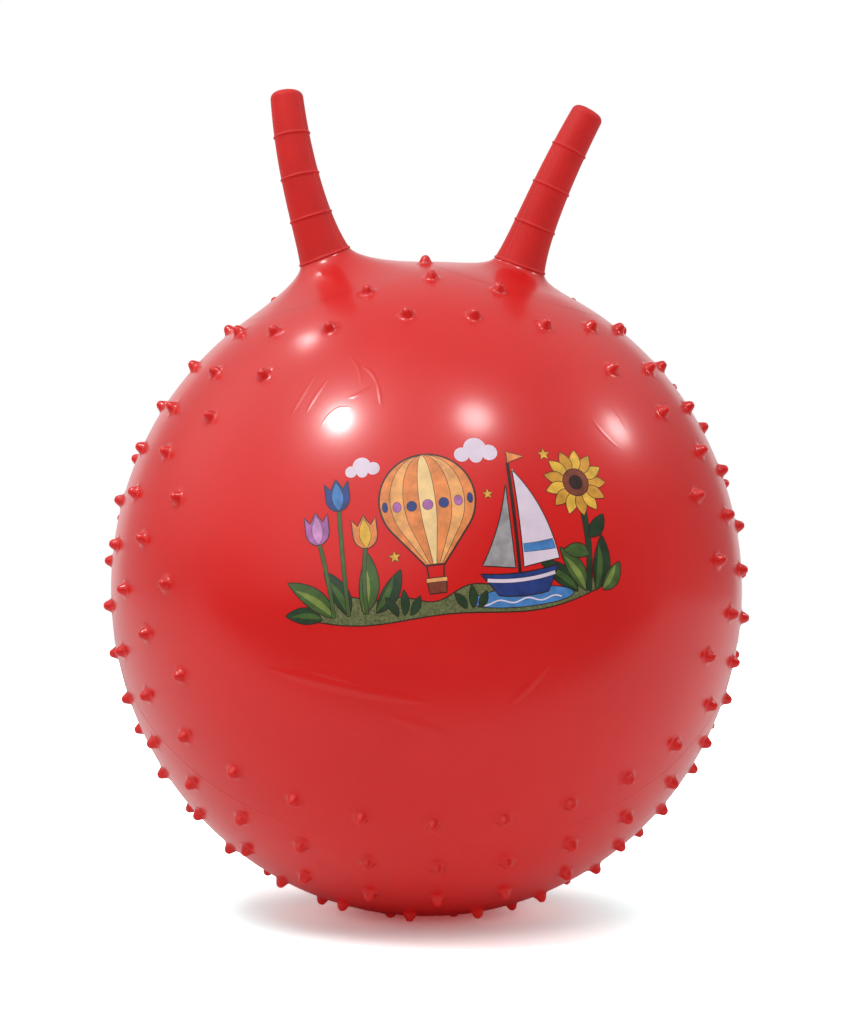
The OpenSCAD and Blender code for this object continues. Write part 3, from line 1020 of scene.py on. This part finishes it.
def studio_world():
    """White to the camera. In the ball's reflections a white sheet behind, pale sides and ceiling,
    two soft lights on the left and a dim room in front. As its light, a soft sky."""
    world = bpy.data.worlds.new("studio")
    bpy.context.scene.world = world
    world.use_nodes = True
    tree = world.node_tree
    add = adder(tree)
    coords = add("ShaderNodeTexCoord")
    split = add("ShaderNodeSeparateXYZ")
    tree.links.new(coords.outputs["Generated"], split.inputs[0])
    x, y, z = (split.outputs[k] for k in range(3))
    sides = smooth(add, tree, x, WHOLE, SIDE_LEVELS)
    front = smooth(add, tree, y, FRONT_EDGE, ON_OFF)
    ceiling = smooth(add, tree, z, CEILING_EDGE, OFF_ON)
    sheet = smooth(add, tree, y, SHEET_EDGE, OFF_ON)
    seen = blend_values(add, tree, front, sides, FRONT_LEVEL)
    seen = blend_values(add, tree, ceiling, seen, CEILING_LEVEL)
    for direction, edge, level in SOFT_LIGHTS:
        toward = add("ShaderNodeVectorMath", operation="DOT_PRODUCT")
        tree.links.new(coords.outputs["Generated"], toward.inputs[0])
        toward.inputs[1].default_value = direction
        soft = smooth(add, tree, toward.outputs["Value"], edge, OFF_ON)
        seen = blend_values(add, tree, soft, seen, level)
    seen = blend_values(add, tree, sheet, seen, SHEET_LEVEL)
    lit = multiplied(
        add, tree,
        smooth(add, tree, z, SKY_EDGE, SKY_LEVELS),
        smooth(add, tree, x, WHOLE, LEFT_RIGHT_LEVELS),
    )
    path = add("ShaderNodeLightPath")
    level = blend_values(add, tree, path.outputs["Is Glossy Ray"], lit, seen)
    level = blend_values(add, tree, path.outputs["Is Camera Ray"], level, 1.0)
    tree.nodes["Background"].inputs["Color"].default_value = (1, 1, 1, 1)
    tree.links.new(level, tree.nodes["Background"].inputs["Strength"])


def area_light(name, place, size, power, highlight):
    """A soft round light that faces the ball: one that shows as a highlight only,
    or a fill that shows in none."""
    data = bpy.data.lights.new(name, "AREA")
    data.shape = "DISK"
    data.size = size
    data.energy = power
    lamp = bpy.data.objects.new(name, data)
    lamp.location = place
    way = Vector(CENTRE * MM) - Vector(place)
    lamp.rotation_euler = way.to_track_quat("-Z", "Y").to_euler()
    lamp.visible_diffuse = not highlight
    lamp.visible_glossy = highlight
    bpy.context.scene.collection.objects.link(lamp)


stage_floor()
studio_world()
for lamp in LAMPS:
    area_light(*lamp)

data = bpy.data.cameras.new("camera")
data.sensor_width = SENSOR_MM
data.lens = FOCAL_PX / IMAGE_PX * SENSOR_MM
data.shift_y = CENTRE_DROP_PX / IMAGE_PX
camera = bpy.data.objects.new("camera", data)
camera.location = Vector(-turn_away * CAMERA_DISTANCE) + Vector((0, 0, CENTRE_Z * MM))
camera.rotation_euler = (math.radians(90), 0, -math.radians(CAMERA_TURN))
bpy.context.scene.collection.objects.link(camera)
bpy.context.scene.camera = camera
bpy.context.scene.view_settings.view_transform = "Standard"
